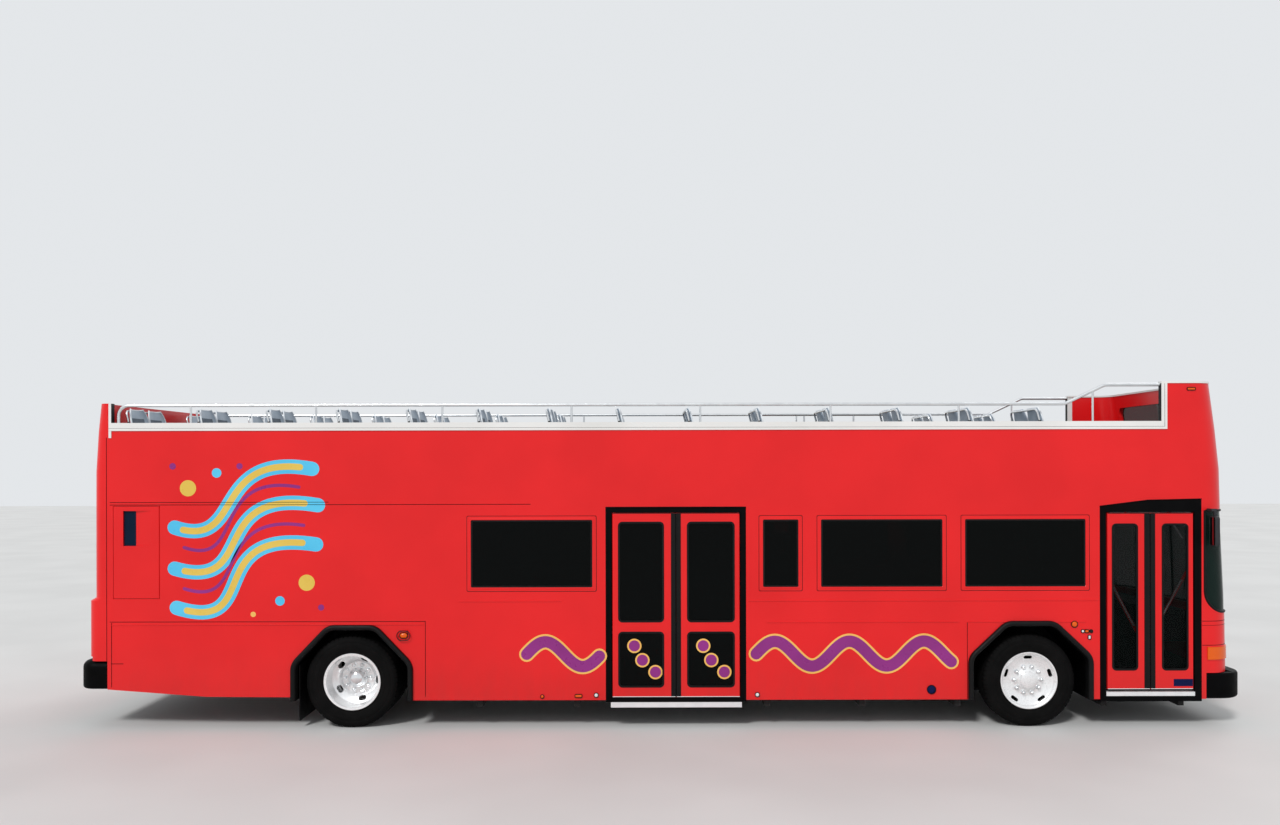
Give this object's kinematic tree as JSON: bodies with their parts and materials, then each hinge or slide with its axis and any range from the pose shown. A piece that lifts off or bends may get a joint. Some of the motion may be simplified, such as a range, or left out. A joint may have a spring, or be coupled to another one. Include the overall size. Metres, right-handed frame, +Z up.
{
  "type": "open top double decker bus",
  "caption": "Open top double decker sightseeing bus on a low-floor chassis, with curb-side doors, an open upper deck with seats and rails, and steered front wheels.",
  "frame": {"origin": "on the ground, midway along the length and the width", "axes": "+X forward, +Y to the driver's side, +Z up; the doors are on the -Y side"},
  "size_m": [12.24, 2.89, 3.62],
  "materials": {
    "body_red": "gloss red bus paint",
    "white_paint": "gloss white paint",
    "frame_black": "satin black paint",
    "chassis_grey": "grey-black chassis paint",
    "glass_dark": "dark tinted safety glass",
    "glass_green": "green tinted laminated glass",
    "bumper_black": "black moulded bumper",
    "rubber_black": "black rubber",
    "tyre_black": "black tyre rubber",
    "rim_steel": "polished steel wheel",
    "rail_steel": "stainless tube",
    "lamp_clear": "clear lamp lens",
    "lamp_amber": "amber lamp lens",
    "lamp_red": "red lamp lens",
    "trim_grey": "dark grey moulded trim",
    "seat_blue": "pale blue-grey moulded seat",
    "floor_grey": "grey floor covering",
    "aluminium_trim": "bare aluminium",
    "engine_iron": "cast iron"
  },
  "bodies": {
    "bus": {"air_springs": "rubber_black", "arch_rubbers": "rubber_black", "copings": "white_paint", "corner_lamps": "lamp_amber", "dashboard": "trim_grey", "door_frames": "frame_black", "driveline": "engine_iron", "front_axle": "chassis_grey", "front_bumper": "bumper_black", "front_glass": "glass_green", "front_panel": "body_red", "grab_poles": "rail_steel", "headlamps": "lamp_clear", "lower_floor": "floor_grey", "lower_seats": "seat_blue", "mirrors": "trim_grey", "rails": "rail_steel", "rear_axle": "chassis_grey", "rear_bumper": "bumper_black", "rear_panel": "body_red", "side_glass": "glass_dark", "side_left_front": "body_red", "side_left_rear": "body_red", "side_right_front": "body_red", "side_right_rear": "body_red", "stair": "aluminium_trim", "steering_wheel": "trim_grey", "tail_frame": "chassis_grey", "tail_lamps": "lamp_red", "thresholds": "aluminium_trim", "underframe": "chassis_grey", "upper_deck": "floor_grey", "upper_front": "body_red", "upper_rear": "body_red", "upper_seats": "seat_blue", "upper_side_left": "body_red", "upper_side_right": "body_red", "wheel_housings": "frame_black"},
    "knuckle_left": {"knuckle_left": "chassis_grey"},
    "knuckle_right": {"knuckle_right": "chassis_grey"},
    "wheel_front_left": {"front_tyre_left": "tyre_black", "front_rim_left": "rim_steel"},
    "wheel_front_right": {"front_tyre_right": "tyre_black", "front_rim_right": "rim_steel"},
    "wheels_rear_left": {"rear_tyres_left": "tyre_black", "rear_rims_left": "rim_steel"},
    "wheels_rear_right": {"rear_tyres_right": "tyre_black", "rear_rims_right": "rim_steel"},
    "mid_leaf_aft": {"mid_door_aft": "body_red", "mid_door_glass_aft": "glass_dark"},
    "mid_leaf_fore": {"mid_door_fore": "body_red", "mid_door_glass_fore": "glass_dark"},
    "front_arm_aft": {"front_door_arm_aft": "frame_black"},
    "front_arm_fore": {"front_door_arm_fore": "frame_black"},
    "front_leaf_aft": {"front_door_aft": "body_red", "front_door_glass_aft": "glass_dark"},
    "front_leaf_fore": {"front_door_fore": "body_red", "front_door_glass_fore": "glass_dark"},
    "engine_hatch": {"engine_door": "body_red"},
    "access_hatch": {"access_door": "body_red"}
  },
  "joints": [
    {"name": "steer_left", "type": "hinge", "parent": "bus", "child": "knuckle_left", "pos_m": [3.85, 0.958, 0.482], "axis": [0, 0, 1], "range_deg": [-40, 40]},
    {"name": "steer_right", "type": "hinge", "parent": "bus", "child": "knuckle_right", "pos_m": [3.85, -0.958, 0.482], "axis": [0, 0, 1], "range_deg": [-40, 40]},
    {"name": "roll_front_left", "type": "hinge", "parent": "knuckle_left", "child": "wheel_front_left", "pos_m": [3.85, 1.1275, 0.482], "axis": [0, 1, 0], "continuous": true},
    {"name": "roll_front_right", "type": "hinge", "parent": "knuckle_right", "child": "wheel_front_right", "pos_m": [3.85, -1.1275, 0.482], "axis": [0, 1, 0], "continuous": true},
    {"name": "roll_rear_left", "type": "hinge", "parent": "bus", "child": "wheels_rear_left", "pos_m": [-3.26, 0.97, 0.482], "axis": [0, 1, 0], "continuous": true},
    {"name": "roll_rear_right", "type": "hinge", "parent": "bus", "child": "wheels_rear_right", "pos_m": [-3.26, -0.97, 0.482], "axis": [0, 1, 0], "continuous": true},
    {"name": "mid_door_fore_swing", "type": "hinge", "parent": "bus", "child": "mid_leaf_fore", "pos_m": [0.794, -1.277, 1.3], "axis": [0, 0, 1], "range_deg": [0, 90]},
    {"name": "mid_door_aft_swing", "type": "hinge", "parent": "bus", "child": "mid_leaf_aft", "pos_m": [-0.507, -1.277, 1.3], "axis": [0, 0, 1], "range_deg": [-90, 0]},
    {"name": "front_arm_fore_swing", "type": "hinge", "parent": "bus", "child": "front_arm_fore", "pos_m": [5.592, -1.215, 1.3], "axis": [0, 0, -1], "range_deg": [0, 85]},
    {"name": "front_arm_aft_swing", "type": "hinge", "parent": "bus", "child": "front_arm_aft", "pos_m": [4.6125, -1.215, 1.3], "axis": [0, 0, -1], "range_deg": [-85, 0]},
    {"name": "front_leaf_fore_turn", "type": "hinge", "parent": "front_arm_fore", "child": "front_leaf_fore", "pos_m": [5.3275, -1.215, 1.3], "axis": [0, 0, 1], "range_deg": [0, 170]},
    {"name": "front_leaf_aft_turn", "type": "hinge", "parent": "front_arm_aft", "child": "front_leaf_aft", "pos_m": [4.877, -1.215, 1.3], "axis": [0, 0, 1], "range_deg": [-170, 0]},
    {"name": "engine_hatch_lift", "type": "hinge", "parent": "bus", "child": "engine_hatch", "pos_m": [-6.045, 0, 1.31], "axis": [0, 1, 0], "range_deg": [0, 80]},
    {"name": "access_hatch_swing", "type": "hinge", "parent": "bus", "child": "access_hatch", "pos_m": [-5.275, -1.28, 1.85], "axis": [0, 0, 1], "range_deg": [0, 90]}
  ],
  "couplings": [
    {"joint": "steer_right", "follows": "steer_left", "ratio": 1},
    {"joint": "mid_door_aft_swing", "follows": "mid_door_fore_swing", "ratio": -1},
    {"joint": "front_arm_aft_swing", "follows": "front_arm_fore_swing", "ratio": -1},
    {"joint": "front_leaf_fore_turn", "follows": "front_arm_fore_swing", "ratio": 2},
    {"joint": "front_leaf_aft_turn", "follows": "front_arm_fore_swing", "ratio": -2}
  ]
}
